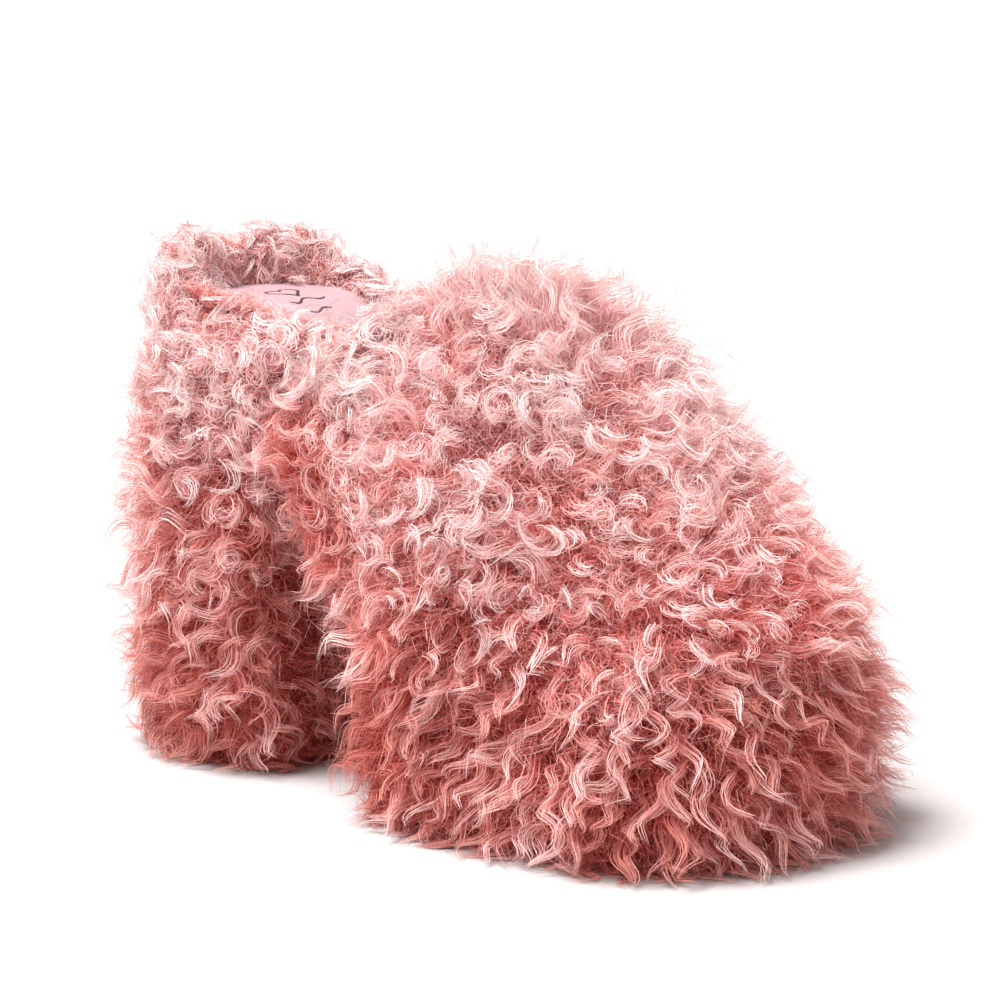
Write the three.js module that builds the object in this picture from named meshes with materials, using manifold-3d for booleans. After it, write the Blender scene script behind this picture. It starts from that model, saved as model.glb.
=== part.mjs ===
// A backless fur mule: block heel, thick platform, closed vamp and open heel seat.
// Millimetres. +X runs from heel to toe, +Y is the wearer's left, +Z is up.
// The ground is Z = 0 and the part is centred on the origin in plan.
import * as THREE from "three";
import { mergeVertices } from "three/addons/utils/BufferGeometryUtils.js";
import ManifoldModule from "manifold-3d";

const wasm = await ManifoldModule();
wasm.setup();

// ---- overall sizes -------------------------------------------------------
const SHOE_LENGTH = 226; // last length at the board, from the back of the heel
const HEEL_WIDTH = 58; // board width at the heel seat
const BALL_WIDTH = 91; // board width at the ball
const SEAT_HEIGHT = 137; // underside of the board at the heel seat
const PLATFORM_HEIGHT = 52; // top of the platform under the ball
const VAMP_HEIGHT = 146; // highest point of the foot cavity
const PILE = 19; // depth of the fur on the heel, collar and vamp
const PLATFORM_PILE = 23; // depth of the fur round the platform
const SHORT_PILE = 8.5; // depth of the fur where the heel and the platform face each other
const CLEAR = 0.3; // gap left between touching pieces

// ---- shape of the last ---------------------------------------------------
const SLOPE_START = 30; // where the seat starts to fall
const SLOPE_END = 134; // where the board meets the level of the platform
const WAIST_X = 62; // end of the heel's constant width
const BALL_X = 150; // where the sole is first at its full width
const HEEL_ROUND = 30;
const TOE_ROUND = 60;
const END_POWER = 2.4; // superellipse of the heel and toe in plan
const HALF = 0.5;

// ---- heel and platform ---------------------------------------------------
const HEEL_BACK = 2;
const HEEL_FRONT = 50;
const HEEL_INSET = 1.2; // how far the heel block stands inside the board
const HEEL_TAPER = 3.2; // how much narrower each side of the block is at the ground
const BREAST_ROUND = 4;
const TIP_THICKNESS = 6;
const TIP_INSET = 0.6;
const PLATFORM_BACK = 110;
const PLATFORM_ROUND = 10;
const OUTSOLE_THICKNESS = 4;
const OUTSOLE_INSET = 1.5;

// ---- insole stack --------------------------------------------------------
const BOARD_THICKNESS = 3;
const BOARD_EXTRA = 1.7; // how far the board reaches past the foot cavity on each side
const FOAM_THICKNESS = 4;
const FOAM_INSET = 0.7;
const SOCK_THICKNESS = 1.5;
const BOARD_TOP = BOARD_THICKNESS;
const FOAM_BASE = BOARD_TOP + CLEAR;
const SOCK_BASE = FOAM_BASE + FOAM_THICKNESS + CLEAR;
const SOCK_TOP = SOCK_BASE + SOCK_THICKNESS;

// ---- vamp ----------------------------------------------------------------
const THROAT_X = 56; // foot of the throat edge, at the sides
const THROAT_LEAN = 50; // how much further forward the throat is at the top
const LEAN_POWER = 1.5; // how fast the lean dies out towards the toe
const LINING = 1.6;
const PADDING = 2;
const BINDING_R = 0.9;
const BINDING_SEAT = 11; // how far lining and padding stop short of the throat for the binding
const PUFF_LENGTH = 42; // how far the toe puff reaches back from the toe
const PUFF_X = SHOE_LENGTH - PUFF_LENGTH; // where the toe puff takes over from the padding
const ARCH_POWER = 2.35; // superellipse of the vamp's cross-section
// Top of the foot cavity: [distance back from the toe, height as a share of VAMP_HEIGHT].
const VAMP_PROFILE = [
  [226, 1], [142, 1], [122, 0.99], [102, 0.97], [84, 0.925], [66, 0.84],
  [46, 0.71], [24, 0.56], [11, 0.47], [0, 0.395], [-34, 0.395],
].map(([back, share]) => [SHOE_LENGTH - back, share]);
const CREASE_Z = PLATFORM_HEIGHT + CLEAR + BOARD_THICKNESS; // where the vamp's fur meets the platform's
const SIDE_DROP = 12; // how far the side fur hangs below the board
const SKIRT = 6; // overrun of a cutting body past what it cuts
const OVERRUN = 60; // overrun of the foot cavity behind the throat

// ---- collar --------------------------------------------------------------
const COLLAR_RISE = 26; // height of the collar above the seat
const COLLAR_FALL = 14; // how much lower the collar is beside the arch
const COLLAR_FALL_START = 16;
const COLLAR_FALL_END = 42;
const COLLAR_FRONT = 96;
// Rounded top of the collar: [share of the pile, distance below its highest line].
const COLLAR_CROWN = [[0.97, 26], [0.84, 12], [0.6, 3], [0.35, 0], [0.1, 2]];
const HEEL_FUR_DROP = 34; // how far below the seat the heel's own fur ends
const HEEL_FUR_TOP = SEAT_HEIGHT - HEEL_FUR_DROP;
const ARCH_FUR = 9;
const ARCH_FUR_FRONT = 104;

// ---- metal parts ---------------------------------------------------------
const SHANK_BACK = 26;
const SHANK_FRONT = 131;
const SHANK_WIDTH = 14;
const SHANK_THICKNESS = 1.6;
const RIVET_R = 2;
const RIVET_TAIL = 2.4;
const RIVET_STATIONS = [34, 126];
const SCREW_X = 21;
const SCREW_R = 2.2;
const SCREW_LENGTH = 40;
const SCREW_HEAD_R = 4.4;
const HEAD_SINK = 0.5; // heads end this far below the top of the board
const HEAD_RECESS = BOARD_THICKNESS - HEAD_SINK; // and this far above its underside
const NAIL_R = 1.1;
const NAIL_LENGTH = 18;
const NAIL_X = [11, 42];
const NAIL_Y = 14;
const PIN_R = 1.5;
const PIN_BASE = 3;
const PIN_TOP = 20;
const PIN_STATIONS = [16, 38];
const GROUND_CLEAR = 1.5; // fur stops this far above the ground

// ---- resolution ----------------------------------------------------------
const PLAN_STEPS = 15;
const BEND_STEPS = 13;
const SIDE_STATIONS = [20, BALL_X]; // extra stations where the sides curve
const TOE_STATIONS = [60, 44, 32]; // and these, measured back from the toe
SIDE_STATIONS.push(...TOE_STATIONS.map((back) => SHOE_LENGTH - back));
const SLAB_ENDS = [0.012, 0.05, 0.12, 0.25]; // extra stations near each end, as shares of an end's length
const END_LENGTH = 40;
const VAMP_STEPS = 16;
const ARCH_STEPS = 15;
const BAND_STEPS = 26;
const ROUND_STEPS = 12;

const lerp = (a, b, t) => a + (b - a) * t;
const clamp01 = (t) => Math.min(1, Math.max(0, t));
const smooth = (t) => {
  const c = clamp01(t);
  return c * c * (3 - 2 * c);
};

// Half-width factor of a superelliptic end at distance e inside it.
function endFactor(e, round, power) {
  const t = clamp01(e / round);
  return Math.pow(Math.max(0, 1 - Math.pow(1 - t, power)), 1 / power);
}

// Stations at which the board bends. It is straight between them, in every piece that follows it.
const BEND_STATIONS = [];
for (let i = 0; i <= BEND_STEPS; i += 1) {
  BEND_STATIONS.push(lerp(SLOPE_START, SLOPE_END, i / BEND_STEPS));
}

// Underside of the insole board above the ground.
function boardZ(x) {
  const t = clamp01((SLOPE_END - x) / (SLOPE_END - SLOPE_START)) * BEND_STEPS;
  const low = Math.floor(t);
  const fall = lerp(smooth(low / BEND_STEPS), smooth((low + 1) / BEND_STEPS), t - low);
  return lerp(PLATFORM_HEIGHT + CLEAR, SEAT_HEIGHT, fall);
}

function sideWidth(x) {
  const t = smooth((x - WAIST_X) / (BALL_X - WAIST_X));
  return lerp(HEEL_WIDTH, BALL_WIDTH, t) * HALF;
}

// Half-width of the last at board level, grown outwards by grow.
function lastWidth(x, grow) {
  const back = endFactor(x + grow, HEEL_ROUND + grow, END_POWER);
  const front = endFactor(SHOE_LENGTH + grow - x, TOE_ROUND + grow, END_POWER);
  return (sideWidth(x) + grow) * back * front;
}

// Stations from a to b, packed towards both ends.
function stations(a, b, count) {
  const out = [];
  for (let i = 0; i <= count; i += 1) {
    out.push(lerp(a, b, (1 - Math.cos((Math.PI * i) / count)) * HALF));
  }
  return out;
}

// ---- solids --------------------------------------------------------------
// A closed geometry as a solid that can be joined and cut.
function solidFrom(geometry) {
  geometry.deleteAttribute("normal");
  geometry.deleteAttribute("uv");
  const merged = mergeVertices(geometry);
  return new wasm.Manifold(new wasm.Mesh({
    numProp: 3,
    vertProperties: new Float32Array(merged.attributes.position.array),
    triVerts: new Uint32Array(merged.index.array),
  }));
}

function enclosed(vertices, triangles) {
  let six = 0;
  for (const [a, b, c] of triangles) {
    const p = vertices[a];
    const q = vertices[b];
    const r = vertices[c];
    six += p[0] * (q[1] * r[2] - q[2] * r[1]);
    six += p[1] * (q[2] * r[0] - q[0] * r[2]);
    six += p[2] * (q[0] * r[1] - q[1] * r[0]);
  }
  return six;
}

// A closed body through rings of equal count, capped with a fan at each end.
// hubOf picks a fan's hub from its ring, which is otherwise the ring's middle.
function loft(rings, hubOf) {
  const n = rings[0].length;
  const vertices = rings.flat();
  const triangles = [];
  for (let i = 0; i + 1 < rings.length; i += 1) {
    for (let j = 0; j < n; j += 1) {
      const k = (j + 1) % n;
      const a = i * n + j;
      const b = i * n + k;
      triangles.push([a, b, b + n]);
      triangles.push([a, b + n, a + n]);
    }
  }
  const last = (rings.length - 1) * n;
  for (const [base, flip] of [[0, true], [last, false]]) {
    const ring = vertices.slice(base, base + n);
    const middle = [0, 1, 2].map((axis) => ring.reduce((sum, p) => sum + p[axis] / n, 0));
    const hub = vertices.push(hubOf ? hubOf(ring) : middle) - 1;
    for (let j = 0; j < n; j += 1) {
      const a = base + j;
      const b = base + ((j + 1) % n);
      triangles.push(flip ? [b, a, hub] : [a, b, hub]);
    }
  }
  if (enclosed(vertices, triangles) < 0) {
    triangles.forEach((face) => face.reverse());
  }
  const geometry = new THREE.BufferGeometry();
  geometry.setAttribute("position", new THREE.Float32BufferAttribute(vertices.flat(), 3));
  geometry.setIndex(triangles.flat());
  return solidFrom(geometry);
}

// Closed plan outline between two ends. width(x) gives the half-width, and is 0 at both ends.
function planRing(back, front, width, z) {
  const xs = stations(back, front, PLAN_STEPS);
  const right = xs.slice(1, -1).map((x) => [x, -width(x), z]);
  const left = xs.slice(1, -1).reverse().map((x) => [x, width(x), z]);
  return [[back, 0, z], ...right, [front, 0, z], ...left];
}

// A slab that follows the fall of the board, from low to high above its underside.
function seatSlab(back, front, width, low, high) {
  const near = SLAB_ENDS.map((share) => share * END_LENGTH);
  const xs = [back, front, ...near.map((e) => back + e), ...near.map((e) => front - e)];
  xs.push(...BEND_STATIONS.filter((x) => x > back + HALF && x < front - HALF));
  xs.push(...SIDE_STATIONS.filter((x) => x > back + END_LENGTH * HALF && x < front - END_LENGTH * HALF));
  const inside = xs.filter((x) => x >= back && x <= front).sort((a, b) => a - b);
  const apart = inside.filter((x, i) => i === 0 || x - inside[i - 1] > CLEAR * HALF);
  const rings = apart.map((x) => {
    const w = width(x);
    const z = boardZ(x);
    return [[x, -w, z + low], [x, w, z + low], [x, w, z + high], [x, -w, z + high]];
  });
  return loft(rings);
}

const largest = (solid) => solid.decompose().sort((a, b) => b.volume() - a.volume())[0];

function rod(x, y, radius, low, high) {
  const cylinder = new THREE.CylinderGeometry(radius, radius, high - low, ROUND_STEPS);
  cylinder.rotateX(Math.PI * HALF);
  cylinder.translate(x, y, (low + high) * HALF);
  return solidFrom(cylinder);
}

// ---- heel and platform ---------------------------------------------------
const aboveBoard = () => {
  const wide = () => BALL_WIDTH;
  return seatSlab(-SKIRT, SHOE_LENGTH + PILE, wide, -CLEAR, SEAT_HEIGHT);
};

function heelOutline(grow, taper, z) {
  const width = (x) => {
    const back = endFactor(x - HEEL_BACK + grow, HEEL_ROUND + grow, END_POWER);
    const front = endFactor(HEEL_FRONT + grow - x, BREAST_ROUND + Math.max(grow, 0), END_POWER);
    return (HEEL_WIDTH * HALF - HEEL_INSET - taper + grow) * back * front;
  };
  return planRing(HEEL_BACK + taper * HALF - grow, HEEL_FRONT + grow, width, z);
}

function shankGroove() {
  const width = () => SHANK_WIDTH * HALF + CLEAR;
  const low = -SHANK_THICKNESS - 2 * CLEAR;
  return seatSlab(SHANK_BACK - 1, SHANK_FRONT + 1, width, low, SKIRT);
}

function heelBlock() {
  const base = TIP_THICKNESS + CLEAR;
  let block = loft([
    heelOutline(0, HEEL_TAPER, base),
    heelOutline(0, HEEL_TAPER * HALF, SEAT_HEIGHT * HALF),
    heelOutline(0, 0, SEAT_HEIGHT + SKIRT),
  ]);
  block = block.subtract(aboveBoard()).subtract(shankGroove());
  const top = SEAT_HEIGHT + SKIRT;
  const screwBase = boardZ(SCREW_X) - SCREW_LENGTH - CLEAR;
  block = block.subtract(rod(SCREW_X, 0, SCREW_R + CLEAR, screwBase, top));
  for (const x of NAIL_X) {
    for (const y of [-NAIL_Y, NAIL_Y]) {
      const low = boardZ(x) - NAIL_LENGTH - CLEAR;
      block = block.subtract(rod(x, y, NAIL_R + CLEAR, low, top));
    }
  }
  const rivetX = RIVET_STATIONS[0];
  const rivetBase = boardZ(rivetX) - RIVET_TAIL - SHANK_THICKNESS;
  block = block.subtract(rod(rivetX, 0, RIVET_R + 2 * CLEAR, rivetBase, top));
  for (const x of PIN_STATIONS) {
    block = block.subtract(rod(x, 0, PIN_R + CLEAR, 0, PIN_TOP + CLEAR));
  }
  return block;
}

function heelTopPiece() {
  let tip = loft([
    heelOutline(-TIP_INSET, HEEL_TAPER, 0),
    heelOutline(-TIP_INSET, HEEL_TAPER, TIP_THICKNESS),
  ]);
  for (const x of PIN_STATIONS) {
    tip = tip.subtract(rod(x, 0, PIN_R + CLEAR, PIN_BASE - CLEAR, TIP_THICKNESS + 1));
  }
  return tip;
}

function platformOutline(back, growBack, grow, z) {
  const start = back - growBack;
  const width = (x) => {
    const rear = endFactor(x - start, PLATFORM_ROUND + growBack * HALF, END_POWER);
    const front = endFactor(SHOE_LENGTH + grow - x, TOE_ROUND + grow, END_POWER);
    return (sideWidth(x) + grow) * rear * front;
  };
  return planRing(start, SHOE_LENGTH + grow, width, z);
}

function platformBlock() {
  const base = OUTSOLE_THICKNESS + CLEAR;
  let block = loft([
    platformOutline(PLATFORM_BACK, 0, BOARD_EXTRA, base),
    platformOutline(PLATFORM_BACK, 0, BOARD_EXTRA, boardZ(PLATFORM_BACK) + SKIRT),
  ]);
  block = block.subtract(aboveBoard()).subtract(shankGroove());
  const x = RIVET_STATIONS[1];
  const low = boardZ(x) - RIVET_TAIL - SHANK_THICKNESS - 1;
  return block.subtract(rod(x, 0, RIVET_R + 2 * CLEAR, low, SEAT_HEIGHT));
}

function outsole() {
  const grow = BOARD_EXTRA - OUTSOLE_INSET;
  return loft([
    platformOutline(PLATFORM_BACK + OUTSOLE_INSET, 0, grow, 0),
    platformOutline(PLATFORM_BACK + OUTSOLE_INSET, 0, grow, OUTSOLE_THICKNESS),
  ]);
}

// ---- insole stack --------------------------------------------------------
function insoleBoard() {
  const width = (x) => lastWidth(x, BOARD_EXTRA);
  let board = seatSlab(-BOARD_EXTRA, SHOE_LENGTH + BOARD_EXTRA, width, 0, BOARD_THICKNESS);
  for (const x of RIVET_STATIONS) {
    board = board.subtract(rod(x, 0, RIVET_R + 2 * CLEAR, 0, SEAT_HEIGHT + SKIRT));
  }
  board = board.subtract(rod(SCREW_X, 0, SCREW_HEAD_R + CLEAR, 0, SEAT_HEIGHT + SKIRT));
  for (const x of NAIL_X) {
    for (const y of [-NAIL_Y, NAIL_Y]) {
      board = board.subtract(rod(x, y, NAIL_R + CLEAR, 0, SEAT_HEIGHT + SKIRT));
    }
  }
  return board;
}

// A layer of the insole, trimmed to fit inside the vamp's lining.
function cushion(inset, low, high) {
  const width = (x) => lastWidth(x, -inset);
  const slab = seatSlab(inset, SHOE_LENGTH - inset, width, low, high);
  const wall = dome(SKIRT, 0, belowBoard);
  return slab.subtract(wall.subtract(dome(-inset, OVERRUN, belowBoard)));
}

function shank() {
  const width = () => SHANK_WIDTH * HALF;
  let strip = seatSlab(SHANK_BACK, SHANK_FRONT, width, -SHANK_THICKNESS - CLEAR, -CLEAR);
  for (const x of RIVET_STATIONS) {
    strip = strip.subtract(rod(x, 0, RIVET_R + CLEAR, 0, SEAT_HEIGHT + SKIRT));
  }
  return strip;
}

function rivet(x) {
  const z = boardZ(x);
  return rod(x, 0, RIVET_R, z - RIVET_TAIL - SHANK_THICKNESS * HALF, z + HEAD_RECESS);
}

function screw() {
  const z = boardZ(SCREW_X);
  const shaft = rod(SCREW_X, 0, SCREW_R, z - SCREW_LENGTH, z + 1);
  return shaft.add(rod(SCREW_X, 0, SCREW_HEAD_R, z, z + HEAD_RECESS));
}

function nail(x, y) {
  const z = boardZ(x);
  return rod(x, y, NAIL_R, z - NAIL_LENGTH, z + HEAD_RECESS - (x > SLOPE_START ? 1 : 0));
}

// ---- vamp ----------------------------------------------------------------
// Top of the vamp above the ground at offset grow from the foot cavity.
function vampTop(x, grow) {
  const squeeze = (SHOE_LENGTH - THROAT_X) / (SHOE_LENGTH + grow - THROAT_X);
  const at = THROAT_X + (x - THROAT_X) * squeeze;
  const next = Math.max(VAMP_PROFILE.findIndex(([station]) => station > at), 1);
  const [x0, share0] = VAMP_PROFILE[next - 1];
  const [x1, share1] = VAMP_PROFILE[next];
  return lerp(share0, share1, (at - x0) / (x1 - x0)) * VAMP_HEIGHT + grow;
}

// One cross-section of the dome over the forefoot, at offset grow from the foot cavity.
// Section 0 is the throat, section 1 is the seat of its binding, and the last is the toe.
// low(x) is the height of the section's foot.
function domeRing(step, grow, low) {
  const end = SHOE_LENGTH + grow;
  const first = THROAT_X + BINDING_SEAT;
  const s = (step - 1) / (VAMP_STEPS - 1);
  const x = step === 0 ? THROAT_X : lerp(first, end, Math.sin(s * Math.PI * HALF) * HALF + s * HALF);
  const t = (x - THROAT_X) / (end - THROAT_X);
  const lean = THROAT_LEAN * Math.pow(1 - t, LEAN_POWER);
  const widthAt = (at) => {
    const inside = Math.min(at, end - HALF * HALF);
    return (sideWidth(at) + grow) * endFactor(end - inside, TOE_ROUND + grow, END_POWER);
  };
  const base = boardZ(x) + FOAM_BASE;
  const top = Math.max(vampTop(x + lean, grow), base + HALF);
  const arch = [[x, -widthAt(x), low(x)]];
  for (let j = 0; j <= ARCH_STEPS; j += 1) {
    const angle = (Math.PI * j) / ARCH_STEPS;
    const c = Math.cos(angle);
    const across = Math.sign(c) * Math.pow(Math.abs(c), 2 / ARCH_POWER);
    const rise = Math.pow(Math.max(Math.sin(angle), 0), 2 / ARCH_POWER);
    const at = x + lean * rise;
    arch.push([at, -widthAt(at) * across, lerp(base, top, rise)]);
  }
  arch.push([x, widthAt(x), low(x)]);
  return arch;
}

const shifted = (ring, by) => ring.map(([x, y, z]) => [x + by, y, z]);

// The dome from section first to the toe, carried on straight for behind at the back.
function dome(grow, behind, low, first = 0) {
  const rings = [];
  for (let i = first; i <= VAMP_STEPS; i += 1) {
    rings.push(domeRing(i, grow, low));
  }
  if (behind > 0) {
    rings.unshift(shifted(rings[0], -behind));
  }
  return loft(rings, (ring) => [ring[1][0], 0, ring[1][2]]);
}

const boardTop = (x) => boardZ(x) + BOARD_TOP + CLEAR;
const belowBoard = (x) => boardZ(x) - SIDE_DROP - SKIRT * 2;
const furFoot = (x) => Math.max(CREASE_Z + CLEAR, boardZ(x) - SIDE_DROP);

function cutFlat(solid, low) {
  const width = () => BALL_WIDTH;
  return solid.subtract(seatSlab(-PILE, SHOE_LENGTH + PILE * 2, width, -SEAT_HEIGHT, low));
}

// A layer of the vamp that stops at the seat of the binding.
function vampShell(inner, outer) {
  const shell = dome(outer, 0, belowBoard, 1).subtract(dome(inner, OVERRUN, belowBoard, 1));
  return cutFlat(shell, BOARD_TOP + CLEAR);
}

function vampFur() {
  const inner = LINING + PADDING + 2 * CLEAR;
  return dome(inner + PILE, 0, furFoot).subtract(dome(inner, OVERRUN, belowBoard));
}

function frontHalf(solid, x, keepFront) {
  const size = SHOE_LENGTH * 2;
  const ahead = new THREE.BoxGeometry(size, size, size);
  ahead.translate(x + size * HALF, 0, 0);
  const box = solidFrom(ahead);
  return keepFront ? solid.intersect(box) : solid.subtract(box);
}

// Tube along the throat edge, halfway between the first two sections of the vamp.
function binding() {
  const grow = (LINING + PADDING + CLEAR) * HALF;
  const edge = domeRing(0, grow, boardTop).slice(1, -1);
  const seat = domeRing(1, grow, boardTop).slice(1, -1);
  const line = edge.map((p, i) => new THREE.Vector3(
    lerp(p[0], seat[i][0], HALF),
    lerp(p[1], seat[i][1], HALF),
    Math.max(lerp(p[2], seat[i][2], HALF), p[2] + (i === 0 || i === edge.length - 1 ? BINDING_R : 0)),
  ));
  const curve = new THREE.CatmullRomCurve3(line);
  const rings = [];
  for (let j = 0; j <= ARCH_STEPS * 2; j += 1) {
    const u = j / (ARCH_STEPS * 2);
    const centre = curve.getPoint(u);
    const along = curve.getTangent(u);
    const out = new THREE.Vector3(0, centre.y, BALL_WIDTH).cross(along).cross(along).normalize();
    const side = out.clone().cross(along).normalize();
    const ring = [];
    for (let k = 0; k < ROUND_STEPS * HALF; k += 1) {
      const turn = (2 * Math.PI * k) / (ROUND_STEPS * HALF);
      const point = centre.clone();
      point.addScaledVector(side, Math.sin(turn) * BINDING_R);
      point.addScaledVector(out, Math.cos(turn) * BINDING_R);
      ring.push([point.x, point.y, point.z]);
    }
    rings.push(ring);
  }
  return loft(rings);
}

// ---- fur on the heel, platform and collar --------------------------------
// Levels of a furry band: [share of its height, share of the pile].
const PILE_LEVELS = [[0, 0.62], [0.1, 0.9], [0.4, 1], [0.8, 0.98], [1, 0.86]];
const PLATFORM_LEVELS = [[0, 0.5], [0.12, 0.8], [0.4, 1], [0.8, 0.98], [1, 0.86]];

function heelWrap() {
  const levels = PILE_LEVELS.map(([t, share]) => {
    const z = lerp(GROUND_CLEAR, HEEL_FUR_TOP, t);
    const taper = HEEL_TAPER * (1 - t * HALF);
    const pile = PILE * share;
    const front = HEEL_FRONT + SHORT_PILE * share;
    const width = (x) => {
      const back = endFactor(x - HEEL_BACK + pile, HEEL_ROUND + pile, END_POWER);
      const breast = endFactor(front - x, BREAST_ROUND * 3, END_POWER);
      return (HEEL_WIDTH * HALF - HEEL_INSET - taper + pile) * back * breast;
    };
    return planRing(HEEL_BACK - pile, front, width, z);
  });
  const core = loft([
    heelOutline(CLEAR, HEEL_TAPER, -SKIRT),
    heelOutline(CLEAR, HEEL_TAPER, TIP_THICKNESS),
    heelOutline(CLEAR, HEEL_TAPER * HALF, SEAT_HEIGHT * HALF),
    heelOutline(CLEAR, 0, SEAT_HEIGHT + SKIRT),
  ]);
  return loft(levels).subtract(core);
}

function platformWrap() {
  const levels = PLATFORM_LEVELS.map(([t, share]) => {
    const z = lerp(GROUND_CLEAR, CREASE_Z, t);
    const grow = BOARD_EXTRA + PLATFORM_PILE * share;
    return platformOutline(PLATFORM_BACK, SHORT_PILE * share, grow, z);
  });
  const core = loft([
    platformOutline(PLATFORM_BACK, CLEAR, BOARD_EXTRA + 2 * CLEAR, -SKIRT),
    platformOutline(PLATFORM_BACK, CLEAR, BOARD_EXTRA + 2 * CLEAR, CREASE_Z + SKIRT),
  ]);
  return loft(levels).subtract(core);
}

function archFur() {
  const width = (x) => lastWidth(x, BOARD_EXTRA);
  const low = -ARCH_FUR - CLEAR;
  const back = HEEL_FRONT + CLEAR;
  const slab = seatSlab(back, ARCH_FUR_FRONT, width, low, -CLEAR);
  return slab.subtract(shankGroove());
}

// Band round the heel seat and along both sides of the shank.
function collar() {
  const front = COLLAR_FRONT;
  const grow = BOARD_EXTRA + CLEAR;
  const path = [];
  for (let i = 0; i <= BAND_STEPS; i += 1) {
    const t = (2 * i) / BAND_STEPS - 1;
    const share = Math.sin((Math.abs(t) * Math.PI) * HALF);
    const x = lerp(-grow, front, 1 - Math.cos((Math.abs(t) * Math.PI) * HALF));
    const w = t === 0 ? 0 : lastWidth(x, grow);
    path.push([x, Math.sign(t) * w, share]);
  }
  const rings = path.map(([x, y], i) => {
    const before = path[Math.max(i - 1, 0)];
    const after = path[Math.min(i + 1, path.length - 1)];
    const along = new THREE.Vector2(after[0] - before[0], after[1] - before[1]).normalize();
    const ends = i === 0 || i === path.length - 1;
    const out = ends ? new THREE.Vector2(0, Math.sign(y)) : new THREE.Vector2(-along.y, along.x);
    if (out.x * (x - HEEL_FRONT) + out.y * y < 0) {
      out.negate();
    }
    const z = boardZ(x);
    const low = Math.min(HEEL_FUR_TOP + CLEAR, z - SIDE_DROP);
    const fall = smooth((x - COLLAR_FALL_START) / (COLLAR_FALL_END - COLLAR_FALL_START));
    const high = SEAT_HEIGHT + COLLAR_RISE - COLLAR_FALL * fall;
    const section = [[0, low], [0.9, low], [1, low + SKIRT]];
    section.push(...COLLAR_CROWN.map(([share, drop]) => [share, high - drop]));
    section.push([0, z + SOCK_TOP]);
    return section.map(([share, level]) => [
      x + out.x * share * PILE,
      y + out.y * share * PILE,
      level,
    ]);
  });
  const wall = LINING + PADDING + 3 * CLEAR;
  const vamp = dome(wall + PILE, CLEAR, belowBoard).add(dome(wall, CLEAR, belowBoard));
  return largest(loft(rings).subtract(vamp));
}

// ---- assembly ------------------------------------------------------------
const material = (name, colour, roughness, metalness) => {
  const made = new THREE.MeshStandardMaterial({ color: colour, roughness, metalness });
  made.name = name;
  return made;
};
const FUR = material("fur", 0xd98f8c, 1, 0);
const BACKING = material("lining", 0xc98383, 0.9, 0);
const PADDED = material("padding", 0xe9e2d6, 0.95, 0);
const SOCK = material("sock", 0xe39a94, 0.55, 0);
const BOARD = material("board", 0xa58a63, 0.9, 0);
const FOAM = material("foam", 0xd8cbb5, 0.95, 0);
const PLASTIC = material("plastic", 0x3c302b, 0.5, 0);
const RUBBER = material("rubber", 0x2f2622, 0.8, 0);
const STEEL = material("steel", 0x9a9da0, 0.35, 1);

function meshOf(name, solid, worn) {
  const data = solid.getMesh();
  const geometry = new THREE.BufferGeometry();
  const points = new THREE.BufferAttribute(new Float32Array(data.vertProperties), data.numProp);
  geometry.setAttribute("position", points);
  geometry.setIndex(new THREE.BufferAttribute(new Uint32Array(data.triVerts), 1));
  geometry.computeVertexNormals();
  const mesh = new THREE.Mesh(geometry, worn);
  mesh.name = name;
  return mesh;
}

const padStart = LINING + CLEAR;
const padEnd = padStart + PADDING;
const padded = vampShell(padStart, padEnd);
const pieces = [
  meshOf("outsole_front", outsole(), RUBBER),
  meshOf("platform_block", platformBlock(), FOAM),
  meshOf("platform_wrap_fur", platformWrap(), FUR),
  meshOf("heel_top_piece", heelTopPiece(), RUBBER),
  meshOf("heel_block", heelBlock(), PLASTIC),
  meshOf("heel_wrap_fur", heelWrap(), FUR),
  meshOf("heel_screw", screw(), STEEL),
  meshOf("insole_board", insoleBoard(), BOARD),
  meshOf("shank", shank(), STEEL),
  meshOf("insole_foam", cushion(FOAM_INSET, FOAM_BASE, FOAM_BASE + FOAM_THICKNESS), FOAM),
  meshOf("sock_lining", cushion(FOAM_INSET, SOCK_BASE, SOCK_TOP), SOCK),
  meshOf("arch_fur", archFur(), FUR),
  meshOf("collar_fur", collar(), FUR),
  meshOf("vamp_lining", vampShell(0, LINING), BACKING),
  meshOf("vamp_padding", frontHalf(padded, PUFF_X, false), PADDED),
  meshOf("toe_puff", frontHalf(padded, PUFF_X + CLEAR, true), BOARD),
  meshOf("vamp_fur", vampFur(), FUR),
  meshOf("topline_binding", binding(), BACKING),
];
RIVET_STATIONS.forEach((x, i) => {
  pieces.push(meshOf(`shank_rivet_${i + 1}`, rivet(x), STEEL));
});
PIN_STATIONS.forEach((x, i) => {
  pieces.push(meshOf(`heel_pin_${i + 1}`, rod(x, 0, PIN_R, PIN_BASE, PIN_TOP), STEEL));
});
NAIL_X.forEach((x, i) => {
  [-NAIL_Y, NAIL_Y].forEach((y, k) => {
    pieces.push(meshOf(`heel_nail_${i * 2 + k + 1}`, nail(x, y), STEEL));
  });
});

const group = new THREE.Group();
group.name = "fur_mule";
pieces.forEach((mesh) => group.add(mesh));

// Centre the part on the origin in plan, with its lowest face on the ground.
const bounds = new THREE.Box3().setFromObject(group);
const shift = new THREE.Vector3(
  -(bounds.min.x + bounds.max.x) * HALF,
  -(bounds.min.y + bounds.max.y) * HALF,
  -bounds.min.z,
);
pieces.forEach((mesh) => mesh.geometry.translate(shift.x, shift.y, shift.z));

export default group;
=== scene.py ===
"""Looks of a fluffy, backless platform mule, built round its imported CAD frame.

Geometry is worked out in millimetres with x = 0 at the back of the heel seat, and
written to meshes in metres in the frame's own coordinates.
"""

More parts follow.
